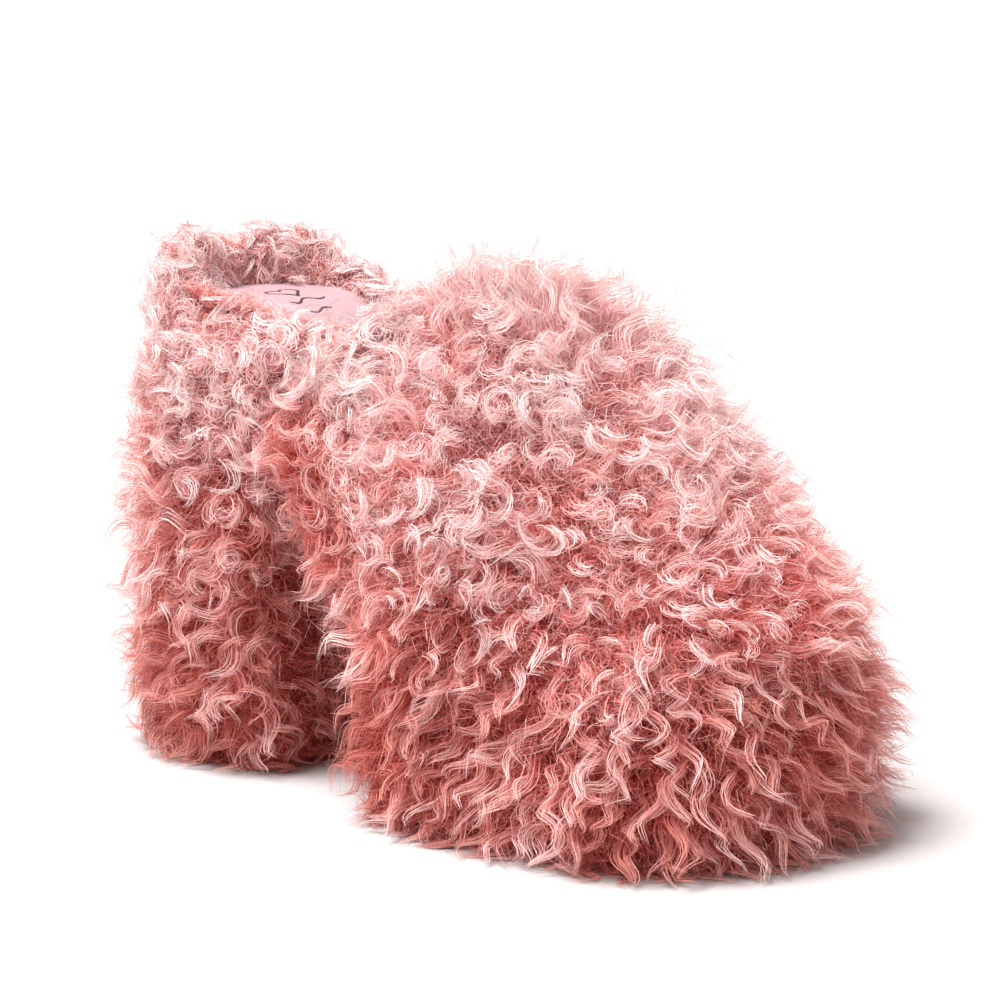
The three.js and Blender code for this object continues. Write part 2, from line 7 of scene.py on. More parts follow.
import bmesh
import bpy
import numpy as np
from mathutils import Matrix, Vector
from mathutils.bvhtree import BVHTree
from mathutils.kdtree import KDTree


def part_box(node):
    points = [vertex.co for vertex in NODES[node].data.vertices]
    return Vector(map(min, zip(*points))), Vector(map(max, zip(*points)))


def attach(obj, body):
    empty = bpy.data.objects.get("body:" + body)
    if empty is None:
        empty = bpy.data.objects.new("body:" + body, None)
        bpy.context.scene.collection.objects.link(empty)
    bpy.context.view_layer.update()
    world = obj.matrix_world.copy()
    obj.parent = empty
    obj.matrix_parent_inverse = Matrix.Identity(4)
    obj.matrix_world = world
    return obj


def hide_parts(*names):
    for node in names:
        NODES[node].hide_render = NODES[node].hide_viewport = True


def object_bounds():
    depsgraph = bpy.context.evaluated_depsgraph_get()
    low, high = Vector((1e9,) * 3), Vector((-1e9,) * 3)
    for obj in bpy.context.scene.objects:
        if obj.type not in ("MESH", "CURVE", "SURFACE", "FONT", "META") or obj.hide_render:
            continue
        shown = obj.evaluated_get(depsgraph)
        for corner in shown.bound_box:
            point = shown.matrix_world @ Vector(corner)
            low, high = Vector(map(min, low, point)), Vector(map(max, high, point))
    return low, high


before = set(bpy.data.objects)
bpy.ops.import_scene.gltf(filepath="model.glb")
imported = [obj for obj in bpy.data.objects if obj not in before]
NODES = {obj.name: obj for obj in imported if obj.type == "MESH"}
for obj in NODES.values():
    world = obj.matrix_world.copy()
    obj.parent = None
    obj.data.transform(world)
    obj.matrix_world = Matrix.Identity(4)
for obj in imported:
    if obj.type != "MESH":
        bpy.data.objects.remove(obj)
CAD_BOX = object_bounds()
rng = np.random.default_rng(20)

# ---- the last, in millimetres ---------------------------------------------
MM = 0.001
BOARD_EXTRA = 1.7  # how far the board reaches past the foot cavity
ORIGIN_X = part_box("insole_board")[0].x / MM + BOARD_EXTRA
LOW, HIGH = (np.array(corner) / MM - [ORIGIN_X, 0, 0] for corner in CAD_BOX)
SHOE_LENGTH = 226.0
HEEL_WIDTH = 58.0
BALL_WIDTH = 91.0
SEAT_HEIGHT = 137.0  # underside of the board at the heel
PLATFORM_TOP = 52.3  # underside of the board at the ball
VAMP_HEIGHT = 146.0  # highest point of the foot cavity
SLOPE_START, SLOPE_END, BENDS = 30.0, 134.0, 13
WAIST_X, BALL_X = 62.0, 150.0
HEEL_ROUND, TOE_ROUND, END_POWER = 30.0, 60.0, 2.4
THROAT_X, THROAT_LEAN, LEAN_POWER, ARCH_POWER = 56.0, 50.0, 1.5, 2.35
CLEAR = 0.3  # gap between touching pieces
CAVITY_BASE = 3.3  # heights over the underside of the board
FOAM_BASE, FOAM_TOP = 3.3, 7.3
SOCK_BASE, SOCK_TOP = 7.6, 9.1
LINING, PADDING = 1.6, 2.0
PUFF_X = 184.0  # where the toe puff takes over from the padding
BINDING_SEAT, BINDING_R = 11.0, 0.95
COLLAR_TOP, COLLAR_FALL = 163.0, 16.0  # top of the collar at the back, and its fall to the sides
# Top of the foot cavity, as a share of its highest point.
PROFILE_X = [0, 84, 104, 124, 142, 160, 180, 202, 215, 226, 260]
PROFILE_Z = [1, 1, 0.99, 0.97, 0.925, 0.84, 0.71, 0.56, 0.47, 0.395, 0.395]


def smooth(t):
    """Eases from 0 to 1."""
    t = np.clip(t, 0, 1)
    return t * t * (3 - 2 * t)


def hump(v, centre, half):
    """1 at the centre, easing to 0 that far to either side."""
    return smooth(1 - np.abs(v - centre) / half)


def unit(v):
    return v / np.maximum(np.linalg.norm(v, axis=-1, keepdims=True), 1e-9)


def dot(a, b):
    return (a * b).sum(-1, keepdims=True)


def end_factor(inside, reach):
    """Share of the full width that far inside a rounded end."""
    t = np.clip(inside / reach, 0, 1)
    return np.maximum(0, 1 - (1 - t) ** END_POWER) ** (1 / END_POWER)


BEND_X = np.linspace(SLOPE_START, SLOPE_END, BENDS + 1)
BEND_Z = PLATFORM_TOP + (SEAT_HEIGHT - PLATFORM_TOP) * smooth(
    (SLOPE_END - BEND_X) / (SLOPE_END - SLOPE_START)
)


def board_z(x):
    """Underside of the insole board."""
    return np.interp(x, BEND_X, BEND_Z)


def side_width(x):
    wide = smooth((x - WAIST_X) / (BALL_X - WAIST_X))
    return (HEEL_WIDTH + (BALL_WIDTH - HEEL_WIDTH) * wide) / 2


def last_width(x, grow):
    """Half-width of the sole's outline, grown outwards."""
    back = end_factor(x + grow, HEEL_ROUND + grow)
    front = end_factor(SHOE_LENGTH + grow - x, TOE_ROUND + grow)
    return (side_width(x) + grow) * back * front


def vamp_top(x, grow):
    """Height of the vamp's ridge, on a layer grown outwards."""
    span = SHOE_LENGTH - THROAT_X
    at = THROAT_X + (x - THROAT_X) * span / (span + grow)
    return np.interp(at, PROFILE_X, PROFILE_Z) * VAMP_HEIGHT + grow


def vamp_point(x, angle, grow):
    """A point of the vamp's layer that lies that far outside the foot cavity."""
    base = board_z(x) + CAVITY_BASE
    t = (x - THROAT_X) / (SHOE_LENGTH - THROAT_X + grow)
    lean = THROAT_LEAN * np.clip(1 - t, 0, 1) ** LEAN_POWER
    top = vamp_top(x + lean, grow)
    power = 2 / ARCH_POWER
    across = np.sign(np.cos(angle)) * np.abs(np.cos(angle)) ** power
    rise = np.abs(np.sin(angle)) ** power
    at = x + lean * rise
    front = end_factor(SHOE_LENGTH + grow - at, TOE_ROUND + grow)
    y = -(side_width(at) + grow) * front * across
    return np.stack([at, y, base + (top - base) * rise], axis=-1)


# ---- meshes ---------------------------------------------------------------
def to_frame(points):
    """Millimetres from the back of the seat to metres in the frame."""
    moved = np.array(points, float)
    moved[..., 0] += ORIGIN_X
    return moved * MM


def arrays(node):
    """A CAD node's points in millimetres, and its triangles."""
    mesh = NODES[node].data
    mesh.calc_loop_triangles()
    points = np.empty(len(mesh.vertices) * 3)
    corners = np.empty(len(mesh.loop_triangles) * 3, int)
    mesh.vertices.foreach_get("co", points)
    mesh.loop_triangles.foreach_get("vertices", corners)
    points = points.reshape(-1, 3) / MM
    points[:, 0] -= ORIGIN_X
    return points, corners.reshape(-1, 3)


def add_mesh(name, points, faces, material, smooth_faces=True):
    """An object from points in millimetres and faces with equal corner counts."""
    faces = np.asarray(faces, np.int32)
    mesh = bpy.data.meshes.new(name)
    mesh.vertices.add(len(points))
    mesh.vertices.foreach_set("co", to_frame(points).astype(np.float32).ravel())
    mesh.loops.add(faces.size)
    mesh.loops.foreach_set("vertex_index", faces.ravel())
    mesh.polygons.add(len(faces))
    starts = np.arange(len(faces), dtype=np.int32) * faces.shape[1]
    mesh.polygons.foreach_set("loop_start", starts)
    mesh.update(calc_edges=True)
    mesh.polygons.foreach_set("use_smooth", np.full(len(faces), smooth_faces))
    mesh.materials.append(material)
    obj = bpy.data.objects.new(name, mesh)
    bpy.context.scene.collection.objects.link(obj)
    return obj


def grid_faces(rows, columns, closed_columns=False):
    """Quads over a grid of points, rows by columns."""
    i, j = np.meshgrid(
        np.arange(rows - 1),
        np.arange(columns if closed_columns else columns - 1),
        indexing="ij",
    )
    k = (j + 1) % columns
    quads = [i * columns + j, i * columns + k, (i + 1) * columns + k, (i + 1) * columns + j]
    return np.stack(quads, axis=-1).reshape(-1, 4)


def tidy_mesh(obj, merge=0.02):
    """Merges touching points, drops faces without area and turns normals outwards."""
    bm = bmesh.new()
    bm.from_mesh(obj.data)
    bmesh.ops.remove_doubles(bm, verts=bm.verts, dist=merge * MM)
    bmesh.ops.dissolve_degenerate(bm, edges=bm.edges, dist=merge * MM / 4)
    bmesh.ops.recalc_face_normals(bm, faces=bm.faces)
    bm.to_mesh(obj.data)
    bm.free()
    return obj


def merged(parts):
    """One set of points and faces from several."""
    points, faces, base = [], [], 0
    for p, f in parts:
        points.append(p)
        faces.append(f + base)
        base += len(p)
    return np.concatenate(points), np.concatenate(faces)


def made(obj, node):
    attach(obj, "root")
    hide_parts(node)
    return obj


# ---- materials ------------------------------------------------------------
GRAIN_DEPTH = 0.2  # millimetres of relief that a full bump strength stands for
COLUMNS = 64  # tones across the colour map of the fur


def new_material(name):
    material = bpy.data.materials.new(name)
    material.use_nodes = True
    nodes = material.node_tree.nodes
    return material, nodes, material.node_tree.links, nodes["Principled BSDF"]


def ramp(nodes, stops):
    """A colour ramp with those places and colours."""
    node = nodes.new("ShaderNodeValToRGB")
    line = node.color_ramp
    while len(line.elements) < len(stops):
        line.elements.new(0.5)
    for element, (at, colour) in zip(line.elements, stops):
        element.position = at
        element.color = (*colour, 1)
    return node


def grainy(name, colours, scale, bump, roughness, bump_scale=None, **constants):
    """A solid material whose colour and surface vary with noise of that scale, per metre."""
    material, nodes, links, shader = new_material(name)
    place = nodes.new("ShaderNodeTexCoord")
    mottle = nodes.new("ShaderNodeTexNoise")
    mottle.inputs["Scale"].default_value = scale
    mottle.inputs["Detail"].default_value = 6
    links.new(place.outputs["Object"], mottle.inputs["Vector"])
    tint = ramp(nodes, [(0.35, colours[0]), (0.65, colours[1])])
    links.new(mottle.outputs["Fac"], tint.inputs["Fac"])
    links.new(tint.outputs["Color"], shader.inputs["Base Color"])
    grain = nodes.new("ShaderNodeTexVoronoi")
    grain.inputs["Scale"].default_value = bump_scale or scale * 6
    links.new(place.outputs["Object"], grain.inputs["Vector"])
    relief = nodes.new("ShaderNodeBump")
    relief.inputs["Strength"].default_value = bump
    relief.inputs["Distance"].default_value = GRAIN_DEPTH * MM
    links.new(grain.outputs["Distance"], relief.inputs["Height"])
    links.new(relief.outputs["Normal"], shader.inputs["Normal"])
    shader.inputs["Roughness"].default_value = roughness
    for key, value in constants.items():
        shader.inputs[key.replace("_", " ")].default_value = value
    return material


def fur_material_with_painted_shade(name, pale, mid, deep, painted_root_shade):
    """Fur colour: across the map from pale to deep locks, and up it painted shade that darkens each
    strand from tip to root.
    """
    material, nodes, links, shader = new_material(name)
    where = nodes.new("ShaderNodeUVMap")
    where.uv_map = "OFBake"
    split = nodes.new("ShaderNodeSeparateXYZ")
    links.new(where.outputs["UV"], split.inputs["Vector"])
    across = ramp(nodes, [(0.0, pale), (0.5, mid), (1.0, deep)])
    links.new(split.outputs["X"], across.inputs["Fac"])
    white = (1.0, 1.0, 1.0)
    # Painted shade: each strand darkens towards its root, where the fur lies deep in shade.
    half_painted_shade = tuple(0.6 * c + 0.4 for c in painted_root_shade)
    near_tip = tuple(0.14 * c + 0.86 for c in painted_root_shade)
    stops = [(0.0, painted_root_shade), (0.42, half_painted_shade), (0.68, near_tip), (0.95, white)]
    along = ramp(nodes, stops)
    links.new(split.outputs["Y"], along.inputs["Fac"])
    mix = nodes.new("ShaderNodeMix")
    mix.data_type = "RGBA"
    mix.blend_type = "MULTIPLY"
    mix.inputs["Factor"].default_value = 1
    links.new(across.outputs["Color"], mix.inputs["A"])
    links.new(along.outputs["Color"], mix.inputs["B"])
    links.new(mix.outputs["Result"], shader.inputs["Base Color"])
    shader.inputs["Roughness"].default_value = 0.55
    shader.inputs["Specular IOR Level"].default_value = 0.15
    return material


FUR_WITH_PAINTED_LIGHT_AND_SHADE = fur_material_with_painted_shade(
    "fur",
    pale=(0.99, 0.88, 0.87),
    mid=(0.96, 0.68, 0.65),
    deep=(0.75, 0.31, 0.26),
    # painted shade at the roots of the strands
    painted_root_shade=(0.88, 0.14, 0.11),
)
# The backing's dark red is painted shade: it stands for the shade deep down in the fur.
HIDE_PAINTED_SHADE = grainy(
    "fur_backing_painted_shade", [(0.50, 0.09, 0.07), (0.62, 0.13, 0.10)], 300, 0.6, 0.95, Specular_IOR_Level=0.1
)


# ---- cores that the fur grows from ----------------------------------------
def tree_of(*nodes):
    points, faces = merged([arrays(node) for node in nodes])
    return BVHTree.FromPolygons(points.tolist(), faces.tolist())


def ahead_of_back(x, y):
    """How far forward of the collar's high back a place is; the right side falls sooner."""
    return x + np.where(y < 0, 10, 4)


def collar_top(x, y):
    """Height that the collar's fur grows up to."""
    return COLLAR_TOP - COLLAR_FALL * smooth((ahead_of_back(x, y) - 14) / 24)


COLLAR_REACH = 120.0  # how far forward the collar's wall runs
WALL_DROP, WALL_LIP = 40.0, 8.0  # how far it goes below the board, and stops below the fur's top


def seat_wall():
    """The upright wall over the edge of the seat that the collar's fur grows from."""
    turn = np.pi / 2 * np.linspace(0, 1, 60)
    x = COLLAR_REACH * (1 - np.cos(turn))
    rim = [np.stack([x, sign * last_width(x, 1.5), 0 * x], 1) for sign in (-1, 1)]
    ring = np.concatenate([rim[0][::-1], rim[1][1:]])
    low, high = ring.copy(), ring.copy()
    low[:, 2] = board_z(ring[:, 0]) - WALL_DROP
    high[:, 2] = collar_top(ring[:, 0], ring[:, 1]) - WALL_LIP
    points = np.concatenate([low, high])
    return BVHTree.FromPolygons(points.tolist(), grid_faces(2, len(ring)).tolist())


CORES = {
    "heel_wrap_fur": tree_of("heel_block", "heel_top_piece"),
    "platform_wrap_fur": tree_of("platform_block", "outsole_front"),
    "vamp_fur": tree_of("vamp_padding", "toe_puff", "insole_board"),
    "collar_fur": seat_wall(),
    "arch_fur": tree_of("insole_board"),
}


def nearest(tree, points):
    """The nearest place on a core to each point, and how far away it is."""
    found = [tree.find_nearest(p) for p in points.tolist()]
    return np.array([f[0] for f in found]), np.array([f[3] for f in found])


def hide_piece(node, name, depth):
    """The fur's backing, coloured dark with painted shade: the CAD solid with its outside pulled in
    close to its core.
    """
    points, triangles = arrays(node)
    root, far = nearest(CORES[node], points)
    pull = np.where(far > depth, depth / np.maximum(far, 1e-6), 1.0)
    return add_mesh(name, root + (points - root) * pull[:, None], triangles, HIDE_PAINTED_SHADE)


# ---- where locks stand ----------------------------------------------------
def outer_samples(node, count, least, facing):
    """Points spread over the outside of a fur solid: place, root and outward normal."""
    points, triangles = arrays(node)
    a, b, c = (points[triangles[:, k]] for k in range(3))
    normal = np.cross(b - a, c - a)
    size = np.linalg.norm(normal, axis=1)
    pick = rng.choice(len(size), count, p=size / size.sum())
    u, v = rng.random((2, count, 1))
    fold = u + v > 1
    u, v = np.where(fold, 1 - u, u), np.where(fold, 1 - v, v)
    place = a[pick] + u * (b - a)[pick] + v * (c - a)[pick]
    normal = unit(normal[pick])
    root, far = nearest(CORES[node], place)
    ahead = dot(unit(place - root), normal)[:, 0]
    keep = (far > least) & (ahead > facing)
    return place[keep], root[keep], normal[keep]


def spaced_out(points, gap):
    """Indexes of points no nearer to each other than the gap."""
    tree = KDTree(len(points))
    for i, p in enumerate(points):
        tree.insert(p, i)
    tree.balance()
    free, chosen = np.ones(len(points), bool), []
    for i, p in enumerate(points):
        if free[i]:
            chosen.append(i)
            for _, j, _ in tree.find_range(p, gap):
                free[j] = False
    return np.array(chosen)


def field(points, size, seed):
    """Smooth noise over space, about -1 to 1, that changes over that many millimetres."""
    own = np.random.default_rng(seed)
    waves = unit(own.normal(size=(9, 3))) * own.uniform(0.7, 1.6, (9, 1)) * 2 * np.pi / size
    angle = points @ waves.T + own.uniform(0, 2 * np.pi, 9)
    return np.sin(angle).sum(1) / 3


# ---- fur strands ----------------------------------------------------------
STEPS = 17  # points along a strand of a lock
LOOSE_STEPS = 9  # points along a loose hair
LONGEST = 1.06  # a strand's greatest length, as a share of its lock's reach
TIP_WIDTH, TAPER = 0.16, 0.45  # a strand's share of its width at its tip, and where it tapers
GROUND, LOWEST = 3.0, 0.4  # where fur starts to bend off the ground, and how low it may get
# How far fur may stand proud of the frame: back, front, sides and top.
PROUD = (7.0, 10.5, 7.0, 9.0)


def bend_in(v, limit, room):
    """Lets a value pass its limit by less and less, up to that much room."""
    over = np.maximum(v - limit, 0)
    return np.minimum(v, limit) + room * (1 - np.exp(-over / room))


def kept(path):
    """Bends what would go below the ground along it, and stray tips back to the frame."""
    z = path[..., 2]
    near_ground = LOWEST + (GROUND - LOWEST) * np.exp((z - GROUND) / GROUND)
    z = np.where(z > GROUND, z, near_ground)
    path[..., 2] = bend_in(z, HIGH[2], PROUD[3])
    path[..., 0] = bend_in(path[..., 0], HIGH[0], PROUD[1])
    path[..., 0] = -bend_in(-path[..., 0], -LOW[0], PROUD[0])
    side = bend_in(np.abs(path[..., 1]), HIGH[1], PROUD[2])
    path[..., 1] = np.sign(path[..., 1]) * side
    return path


def strand_paths(s, root, up, comb, reach, lay, amp, waves, phase, roll):
    """Points along each strand at its shares s of the way out, and the frames there.

    A strand goes up from its root by its reach, leans along its comb by its lay, and
    waves that many times, as wide as its amp, as a flat wave or a roll.
    """
    w = lambda v: v[:, None]
    spine = root[:, None] + up[:, None] * (w(reach) * s**0.9)[..., None]
    spine = spine + comb[:, None] * (w(lay) * s**1.6)[..., None]
    tangent = unit(np.gradient(spine, axis=1))
    side = unit(np.cross(up, comb))[:, None] * np.ones_like(spine)
    over = np.cross(tangent, side)
    angle = w(phase) + 2 * np.pi * w(waves) * s**1.2
    swell = w(amp) * smooth(s / 0.4) * (0.7 + 0.6 * s)
    spine = spine + side * (swell * np.cos(angle))[..., None]
    spine = spine + over * (swell * w(roll) * np.sin(angle))[..., None]
    return spine, side, over


def ribbon_faces(n, k):
    """Quads of n ribbons with k pairs of points each."""
    base = (np.arange(n)[:, None] * k + np.arange(k - 1)[None]) * 2
    return np.stack([base, base + 1, base + 3, base + 2], -1).reshape(-1, 4)


def ribbons(path, start, width, column, share):
    """Strands as tapered ribbons that turn with the curl.

    Gives their points, faces and places on the colour map.
    """
    n, k, _ = path.shape
    tangent = unit(np.gradient(path, axis=1))
    tilt = rng.normal(0, 0.55, (n, 1))
    start = start * np.cos(tilt) + np.cross(tangent[:, 0], start) * np.sin(tilt)
    sides = np.empty_like(path)
    for i in range(k):
        start = unit(start - dot(start, tangent[:, i]) * tangent[:, i])
        sides[:, i] = start
    along = np.linspace(0, 1, k)
    taper = TIP_WIDTH + (1 - TIP_WIDTH) * np.minimum(1, (1 - along) / TAPER) ** 0.8
    half = sides * (width[:, None] * taper / 2)[..., None]
    points = np.stack([path - half, path + half], axis=2).reshape(-1, 3)
    left = (column + 0.15) / COLUMNS
    right = (column + 0.85) / COLUMNS
    u = np.stack([left, right, right, left], -1)[:, None].repeat(k - 1, 1)
    # v runs from root to tip and sets how much painted shade a strand takes.
    v = np.stack([share[:, :-1], share[:, :-1], share[:, 1:], share[:, 1:]], -1) / LONGEST
    return points, ribbon_faces(n, k), np.stack([u, v], -1).reshape(-1, 2)


def add_ribbons(name, groups):
    """One piece of several groups of strands, each a path, side, width, column and share."""
    built = [ribbons(*group) for group in groups]
    points, faces = merged([(p, f) for p, f, _ in built])
    obj = add_mesh(name, points, faces, FUR_WITH_PAINTED_LIGHT_AND_SHADE)
    layer = obj.data.uv_layers.new(name="OFBake")
    places = np.concatenate([m for _, _, m in built])
    layer.uv.foreach_set("vector", places.astype(np.float32).ravel())
    return obj


# ---- fur coats ------------------------------------------------------------
def flow_of(place, up, style):
    """The direction along the surface in which locks lie."""
    turn = np.stack([field(place, 45, style["seed"] + i) for i in range(3)], 1)
    hang = 1.25 - 0.95 * smooth((place[:, 2] - 45) / 70)
    flow = np.outer(hang * style["down"], [0, 0, -1]) + [style["toe"], 0, 0]
    flow = flow + style["swirl"] * turn + rng.normal(0, 0.28, place.shape)
    return unit(flow - dot(flow, up) * up)


def tone_and_painted_light_of(place, lift):
    """Where on the colour map a lock lies, from 0 pale to 1 deep.

    Fur pales with height, as painted light from above, and deepens in the crease
    between heel and vamp, as painted shade; it also varies in patches and from lock
    to lock. A lift above 0 pales a whole coat as painted light; one below 0 deepens
    it as painted shade.
    """
    height = smooth((place[:, 2] - 15) / 118)
    crease = hump(place[:, 0], 78, 34) * (1 - smooth((place[:, 2] - 96) / 40))
    tone = 0.84 - 0.8 * height + 0.2 * field(place, 60, 5) + 0.6 * crease - lift
    return np.clip(tone + rng.normal(0, 0.15, len(place)), 0.0, 1.0)


def columns_of(tone):
    """The nearest column of the colour map to each tone."""
    return np.round(tone.clip(0, 1) * (COLUMNS - 1))


def lock_traits(locks, style):
    """How each lock grows, lies and curls, and its tone."""
    place, root, normal = locks
    n = len(place)
    up = unit(unit(place - root) + 0.3 * normal)
    comb = flow_of(place, up, style)
    reach = np.linalg.norm(place - root, axis=1) * rng.uniform(0.86, 1.1, n) + style["extra"]
    if "trim" in style:
        reach = style["trim"](place, up, reach)
    high = np.maximum(smooth((place[:, 2] - 50) / 60), style.get("curl", 0))
    traits = {"root": root, "up": up, "comb": comb, "reach": reach, "high": high}
    traits["lay"] = style["lay"] * rng.uniform(0.5, 1.4, n)
    traits["amp"] = style["amp"] * rng.uniform(0.6, 1.25, n) * (0.76 + 0.24 * high)
    traits["waves"] = style["waves"] * rng.uniform(0.75, 1.25, n) * (0.86 + 0.14 * high)
    traits["phase"] = rng.uniform(0, 2 * np.pi, n)
    traits["roll"] = rng.choice([-1, 1], n) * (rng.uniform(0.1, 0.6, n) + 0.45 * high)
    traits["tone"] = tone_and_painted_light_of(place, style.get("lift", 0))
    # Painted light: high up, strands are less darkened towards their roots, as light falls from above.
    traits["paler"] = 0.24 * smooth((place[:, 2] - 85) / 60)[:, None]
    return traits


def lock_strands(traits, lock, style):
    """The strands of the locks: path, side, width, column and share."""
    m = len(lock)
    of = {key: value[lock] for key, value in traits.items()}
    end = rng.uniform(0.74, 1.05, m)
    s = np.linspace(0, 1, STEPS)[None] * end[:, None]
    path, side, over = strand_paths(
        s,
        of["root"],
        of["up"],
        of["comb"],
        of["reach"] * rng.normal(1, 0.03, m),
        of["lay"],
        of["amp"] * rng.normal(1, 0.07, m),
        of["waves"] * rng.normal(1, 0.02, m),
        of["phase"] + rng.normal(0, 0.1, m),
        of["roll"],
    )
    # Strands stand round their lock's middle, and close up towards its tip.
    close = np.interp(s, [0, 0.35, 0.7, 1.05], [1.0, 0.8, 0.62, 0.12])
    around, out = rng.uniform(0, 2 * np.pi, m), np.sqrt(rng.random(m)) * style["bundle"]
    out = out * (1 + 0.25 * of["high"])
    path = path + side * ((out * np.cos(around))[:, None] * close)[..., None]
    path = path + over * ((out * 0.7 * np.sin(around))[:, None] * close)[..., None]
    fuzz = 0.16 * smooth(s / 0.3)
    for axis in (side, over):
        beat, at = rng.uniform(9, 26, (m, 1)), rng.uniform(0, 2 * np.pi, (m, 1))
        path = path + axis * (fuzz * np.sin(beat * s + at))[..., None]
    # Painted shade darkens each strand towards its root; high up it darkens less, as painted light.
    share = of["paler"] + (1 - of["paler"]) * s
    width = style["width"] * rng.uniform(0.75, 1.2, m)
    column = columns_of(of["tone"] + rng.normal(0, 0.11, m))
    return path, side[:, 0], width, column, share


def loose_hairs(traits, pick, style):
    """Hairs between the locks, each with a curl of its own: as lock_strands gives them."""
    m = len(pick)
    of = {key: value[pick] for key, value in traits.items()}
    up = unit(of["up"] + rng.normal(0, 0.25, (m, 3)))
    comb = rng.normal(size=(m, 3)) + of["comb"]
    comb = unit(comb - dot(comb, up) * up)
    end = rng.uniform(0.7, 1.0, m)
    s = np.linspace(0, 1, LOOSE_STEPS)[None] * end[:, None]
    shift = rng.normal(0, 2.6, (m, 3))
    shift -= dot(shift, of["up"]) * of["up"]
    full = rng.uniform(0.4, 1.12, m) ** 0.8
    path, side, _ = strand_paths(
        s,
        of["root"] + shift,
        up,
        comb,
        of["reach"] * full,
        style["lay"] * rng.uniform(0.2, 1.3, m),
        rng.uniform(1.2, 3.8, m),
        rng.uniform(0.8, 3.2, m),
        rng.uniform(0, 2 * np.pi, m),
        rng.uniform(-1, 1, m),
    )
    # Painted shade: short loose hairs stay as dark as the fur's depth; high up less so, as painted
    # light.
    share = s * full[:, None] ** 1.3 / 1.1
    share = of["paler"] + (1 - of["paler"]) * share
    width = 0.6 * style["width"] * rng.uniform(0.7, 1.2, m)
    # Loose hairs take deeper tones than their locks, and paler ones high up as painted light.
    column = columns_of(of["tone"] - 1.2 * of["paler"][:, 0] + rng.normal(0.26, 0.14, m))
    return path, side[:, 0], width, column, share


def fur_coat(node, names, locks, style):
    """Curly locks and loose hairs over one fur solid, in as many pieces as there are names."""
    place = locks[0]
    n = len(place)
    traits = lock_traits(locks, style)
    lock = np.repeat(np.arange(n), style["strands"])
    strands = lock_strands(traits, lock, style)
    pick = rng.integers(0, n, int(n * style["loose"]))
    hairs = loose_hairs(traits, pick, style)
    # The pieces are the locks from back to front, in equal shares.
    order = np.argsort(np.argsort(place[:, 0], kind="stable"), kind="stable")
    part = order * len(names) // n
    pieces = []
    for i, name in enumerate(names):
        groups = []
        for of_lock, group in ((lock, strands), (pick, hairs)):
            path, *rest = (values[part[of_lock] == i] for values in group)
            groups.append((kept(path), *rest))
        pieces.append(made(add_ribbons(name, groups), node))
    return pieces


# A style of fur, here the long one: how strongly its locks hang, point to the toe and swirl; how far in
# millimetres they reach past the solid and lie along it; the half-width and number of
# their waves; the radius of a lock, its strands and loose hairs, and a strand's width.
# A style may add a trim, a lift of its tone towards pale as painted light (towards deep as painted
# shade when below 0), and a least share of curl.
LONG = {
    "down": 1.0,
    "toe": 0.25,
    "swirl": 0.6,
    "extra": 2.5,
    "lay": 13.5,
    "amp": 2.9,
    "waves": 1.8,
    "bundle": 3.5,
    "strands": 22,
    "loose": 46,
    "width": 0.3,
}


def towards(root, direction, reach):
    """Extra locks that grow from these roots in these directions."""
    direction = unit(direction)
    return root + direction * reach, root, direction


def seat_rim_locks(count, reach):
    """Locks that lean in over the edge of the seat from the inside of the collar."""
    turn = np.linspace(0, np.pi / 2, 200)
    x = 58 * (1 - np.cos(turn))
    half = np.stack([x, last_width(x, 1.0)], 1)
    rim = np.concatenate([(half * [1, -1])[::-1], half[1:]])
    steps = np.linalg.norm(np.diff(rim, axis=0), axis=1)
    along = np.concatenate([[0], np.cumsum(steps)])
    at = rng.uniform(0, along[-1], count)
    spot = np.stack([np.interp(at, along, rim[:, i]) for i in (0, 1)], 1)
    ahead = np.stack([np.interp(at + 0.5, along, rim[:, i]) for i in (0, 1)], 1) - spot
    inward = unit(np.stack([ahead[:, 1], -ahead[:, 0]], 1))
    low, high = board_z(spot[:, 0]) + SOCK_TOP + 0.6, collar_top(spot[:, 0], spot[:, 1]) - 4
    z = low + (high - low) * rng.random(count) ** 1.4
    root = np.column_stack([spot, z])
    lift = rng.uniform(0.35, 1.2, count)
    low_side = smooth((spot[:, 0] - 8) / 16)
    return towards(root, np.column_stack([inward, lift]), (reach * (1 - 0.5 * low_side))[:, None])


def throat_locks(count, reach):
    """Locks that stand back over the edge of the throat."""
    angle = rng.uniform(0.2, 0.8, count) * np.pi
    x = THROAT_X + rng.uniform(0.5, 5, count)
    root = vamp_point(x, angle, 5)
    out = unit(vamp_point(x, angle, 12) - root)
    back = unit(root - vamp_point(x + 4, angle, 5))
    share = rng.uniform(0.2, 0.6, (count, 1))
    return towards(root, out + share * back, reach)


GAP = 5.9  # least distance between locks
SAMPLES = 48000  # places tried on each fur solid
LEAST_PILE, FACING = 4.0, 0.45  # least depth of fur under a lock, and how squarely it stands


def coat(node, names, style, more=None):
    """The fur of one solid: locks spread over it, and any extra ones."""
    found = outer_samples(node, SAMPLES, LEAST_PILE, FACING)
    chosen = spaced_out(found[0], GAP)
    locks = tuple(values[chosen] for values in found)
    if more:
        locks = tuple(np.concatenate(pair) for pair in zip(locks, more))
    return fur_coat(node, names, locks, style)


def lettered(stem, count):
    return [f"{stem}_{letter}" for letter in "abcdefgh"[:count]]


# A trim changes how far locks reach, by their places and directions.
def collar_trim(place, up, reach):
    """The collar's fur is short beside the seat, away from its high back."""
    away = smooth((ahead_of_back(place[:, 0], place[:, 1]) - 10) / 24)
    corner = 6.0 * smooth((place[:, 2] - 112) / 24) * (1 - away)
    over_seat = smooth((place[:, 2] - 134) / 12)
    return np.minimum(reach - corner, 22 - 18.0 * away * over_seat)


